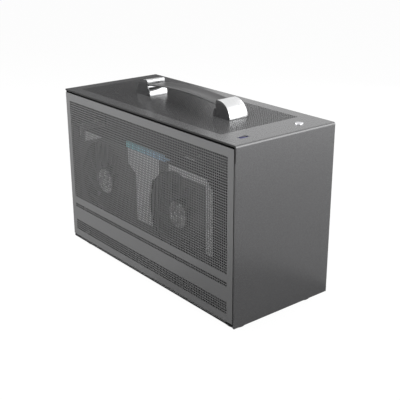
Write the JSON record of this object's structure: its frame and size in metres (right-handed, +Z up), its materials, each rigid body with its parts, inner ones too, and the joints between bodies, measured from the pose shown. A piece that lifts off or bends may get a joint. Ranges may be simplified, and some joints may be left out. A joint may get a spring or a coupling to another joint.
{
  "type": "computer case",
  "caption": "Compact desktop computer case with mesh sides, a strap handle on bright feet, and a graphics card behind the mesh.",
  "frame": {"origin": "middle of the footprint, on the surface that the rubber feet stand on", "axes": "+X towards the plain front face, -Y out of the near mesh side with the graphics card, +Z up"},
  "size_m": [0.3446, 0.147, 0.239],
  "materials": {
    "shell_paint": "satin grey anodised paint",
    "mesh_paint": "satin grey paint",
    "black_paint": "satin black powder coat",
    "brass": "plain",
    "zinc": "zinc plated",
    "nylon": "matt",
    "strap_rubber": "satin",
    "gloss_black": "gloss",
    "chrome": "polished",
    "foot_rubber": "matt",
    "button_metal": "bright",
    "circuit_board": "solder mask",
    "port_blue": "matt",
    "shroud_plastic": "satin",
    "fan_plastic": "matt",
    "hub_silver": "bright",
    "fin_aluminium": "plain",
    "backplate_metal": "satin black",
    "light_strip": "lit"
  },
  "bodies": {
    "case": {"front_top_shell": "shell_paint", "base_pan": "black_paint", "rear_panel": "black_paint", "slot_frame": "black_paint", "board_tray": "black_paint", "board_standoffs": "brass", "supply_bracket": "black_paint", "top_rail_near": "black_paint", "top_rail_far": "black_paint", "base_rail_near": "black_paint", "base_rail_far": "black_paint", "panel_sockets_near": "nylon", "panel_sockets_far": "nylon", "handle_strap": "strap_rubber", "handle_foot_rear": "gloss_black", "handle_foot_front": "gloss_black", "handle_cap_rear": "chrome", "handle_cap_front": "chrome", "handle_screws": "zinc", "foot_rear_near": "foot_rubber", "foot_rear_far": "foot_rubber", "foot_front_near": "foot_rubber", "foot_front_far": "foot_rubber", "foot_screws": "zinc", "button_guide": "nylon", "power_switch": "nylon", "control_board": "circuit_board", "control_posts": "brass", "port_shell": "zinc", "port_tongue": "port_blue", "mains_inlet": "nylon", "inlet_pins": "zinc", "inlet_screws": "zinc", "rear_screws": "zinc", "base_screws": "zinc", "bracket_screws": "zinc", "card_shroud": "shroud_plastic", "fan_motor_rear": "fan_plastic", "fan_motor_front": "fan_plastic", "card_heatsink": "fin_aluminium", "card_board": "circuit_board", "card_backplate": "backplate_metal", "card_bracket": "zinc", "card_ports": "zinc", "card_light_strip": "light_strip", "card_screws": "zinc", "riser_slot": "nylon", "riser_board": "circuit_board", "riser_shelf": "black_paint"},
    "near_cover": {"side_panel_near": "mesh_paint", "panel_studs_near": "zinc"},
    "far_cover": {"side_panel_far": "mesh_paint", "panel_studs_far": "zinc"},
    "button": {"power_button": "button_metal", "switch_plunger": "nylon"},
    "rear_fan": {"card_fan_rear": "fan_plastic", "fan_cap_rear": "hub_silver"},
    "front_fan": {"card_fan_front": "fan_plastic", "fan_cap_front": "hub_silver"}
  },
  "joints": [
    {"name": "near_cover_pull", "type": "slide", "parent": "case", "child": "near_cover", "axis": [0, -1, 0], "range_m": [0, 0.03]},
    {"name": "far_cover_pull", "type": "slide", "parent": "case", "child": "far_cover", "axis": [0, 1, 0], "range_m": [0, 0.03]},
    {"name": "button_press", "type": "slide", "parent": "case", "child": "button", "axis": [0, 0, -1], "range_m": [0, 0.0008], "stiffness_N_per_m": 400},
    {"name": "rear_fan_spin", "type": "hinge", "parent": "case", "child": "rear_fan", "pos_m": [-0.0966, -0.0635, 0.10805], "axis": [0, 1, 0], "continuous": true},
    {"name": "front_fan_spin", "type": "hinge", "parent": "case", "child": "front_fan", "pos_m": [0.0584, -0.0635, 0.10805], "axis": [0, 1, 0], "continuous": true}
  ]
}
